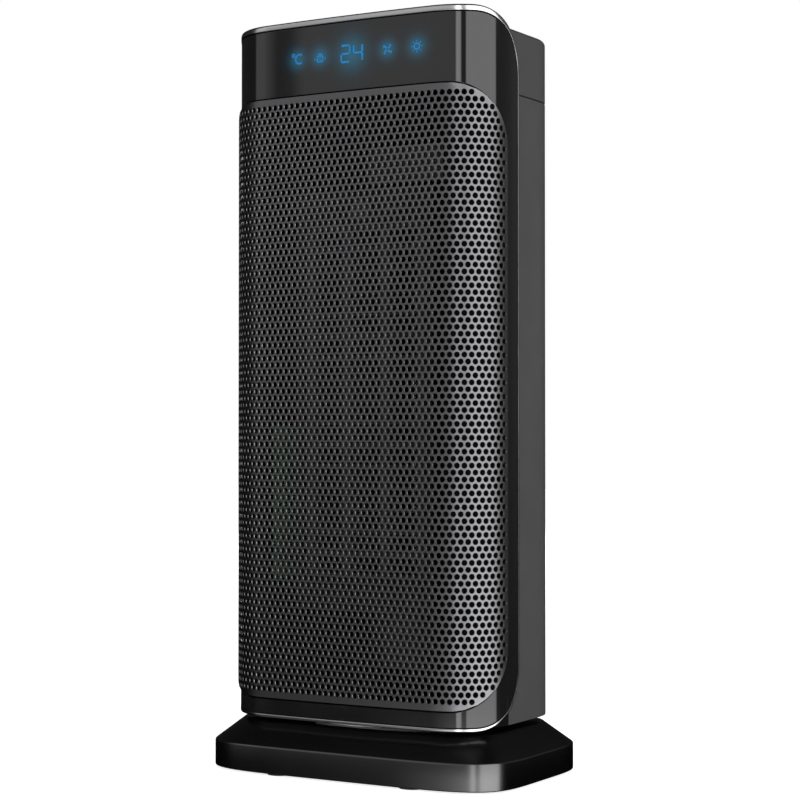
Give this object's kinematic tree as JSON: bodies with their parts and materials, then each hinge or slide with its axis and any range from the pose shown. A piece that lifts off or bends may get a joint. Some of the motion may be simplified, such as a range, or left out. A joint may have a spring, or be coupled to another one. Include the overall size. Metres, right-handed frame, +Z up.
{
  "type": "ceramic space heater",
  "caption": "Ceramic tower heater: curved perforated front, gloss black display band, silver trim, turning on a low flared base.",
  "frame": {"origin": "floor level under the middle of the base; the tower's turning axis passes through it", "axes": "+Z up, -Y the way the heater blows, +X to the right of someone facing along +Y at its front"},
  "size_m": [0.2248, 0.1438, 0.492],
  "materials": {
    "gloss_black": "gloss black injection-moulded plastic",
    "satin_black": "satin black plastic",
    "matte_black": "matt black plastic",
    "grille_metal": "dark grey satin metal, perforated",
    "silver_trim": "satin silver plated trim",
    "rubber_black": "black rubber",
    "steel": "zinc-plated steel",
    "aluminium": "bare aluminium fins",
    "nylon_white": "natural nylon",
    "heat_resin": "dark heat-resistant resin",
    "foam_grey": "open-cell filter foam",
    "board_green": "solder-masked circuit board",
    "light_clear": "clear light-guide acrylic"
  },
  "bodies": {
    "base": {"base_cover": "gloss_black", "base_plate": "matte_black", "foot_1": "rubber_black", "foot_2": "rubber_black", "foot_3": "rubber_black", "foot_4": "rubber_black", "ballast_plate": "steel", "cord_gland": "rubber_black", "turntable_ring": "nylon_white", "osc_motor": "steel", "tip_switch": "matte_black", "tip_spring": "steel", "base_screw_1": "steel", "base_screw_2": "steel", "base_screw_3": "steel", "base_screw_4": "steel"},
    "tower": {"front_panel": "gloss_black", "switch_bezel": "gloss_black", "rear_housing": "satin_black", "top_cap": "satin_black", "grip_cup": "satin_black", "front_frame": "matte_black", "grille_frame": "matte_black", "tower_floor": "matte_black", "switch_body": "matte_black", "buzzer": "matte_black", "capacitor": "matte_black", "front_grille": "grille_metal", "trim_ring": "silver_trim", "bearing_rubber": "rubber_black", "retaining_washer": "steel", "fan_motor": "steel", "top_bearing": "steel", "thermal_cutout": "steel", "housing_screw_1": "steel", "housing_screw_2": "steel", "hub_screw_1": "steel", "hub_screw_2": "steel", "ptc_core": "aluminium", "turntable_hub": "nylon_white", "sector_gear": "nylon_white", "thermal_fuse": "nylon_white", "relay": "nylon_white", "temperature_sensor": "nylon_white", "motor_plate": "heat_resin", "bearing_plate": "heat_resin", "scroll_wall": "heat_resin", "vortex_tongue": "heat_resin", "heater_frame": "heat_resin", "display_board": "board_green", "power_board": "board_green", "light_guide": "light_clear"},
    "osc_pinion": {"osc_pinion": "nylon_white"},
    "blower_rotor": {"blower_wheel": "matte_black", "blower_shaft": "steel"},
    "power_rocker": {"power_rocker": "gloss_black"},
    "filter_panel": {"filter_cover": "satin_black", "filter_foam": "foam_grey"},
    "tip_plunger": {"tip_plunger": "nylon_white"}
  },
  "joints": [
    {"name": "oscillation", "type": "hinge", "parent": "base", "child": "tower", "pos_m": [0, 0, 0.0336], "axis": [0, 0, 1], "range_deg": [-35, 35]},
    {"name": "pinion_spin", "type": "hinge", "parent": "base", "child": "osc_pinion", "pos_m": [0, -0.0405, 0.0255], "axis": [0, 0, 1], "range_deg": [-123, 123]},
    {"name": "blower_spin", "type": "hinge", "parent": "tower", "child": "blower_rotor", "pos_m": [0.008, 0.016, 0.24], "axis": [0, 0, 1], "continuous": true},
    {"name": "power_switch", "type": "hinge", "parent": "tower", "child": "power_rocker", "pos_m": [-0.036, 0.059, 0.08], "axis": [1, 0, 0], "range_deg": [-18, 0]},
    {"name": "filter_release", "type": "slide", "parent": "tower", "child": "filter_panel", "axis": [0, 1, 0], "range_m": [0, 0.04]},
    {"name": "tip_over_plunger", "type": "slide", "parent": "base", "child": "tip_plunger", "axis": [0, 0, 1], "range_m": [-0.004, 0], "stiffness_N_per_m": 60, "springref_m": -0.008, "deforming": ["tip_spring"]}
  ],
  "couplings": [
    {"joint": "pinion_spin", "follows": "oscillation", "ratio": -3.5}
  ]
}
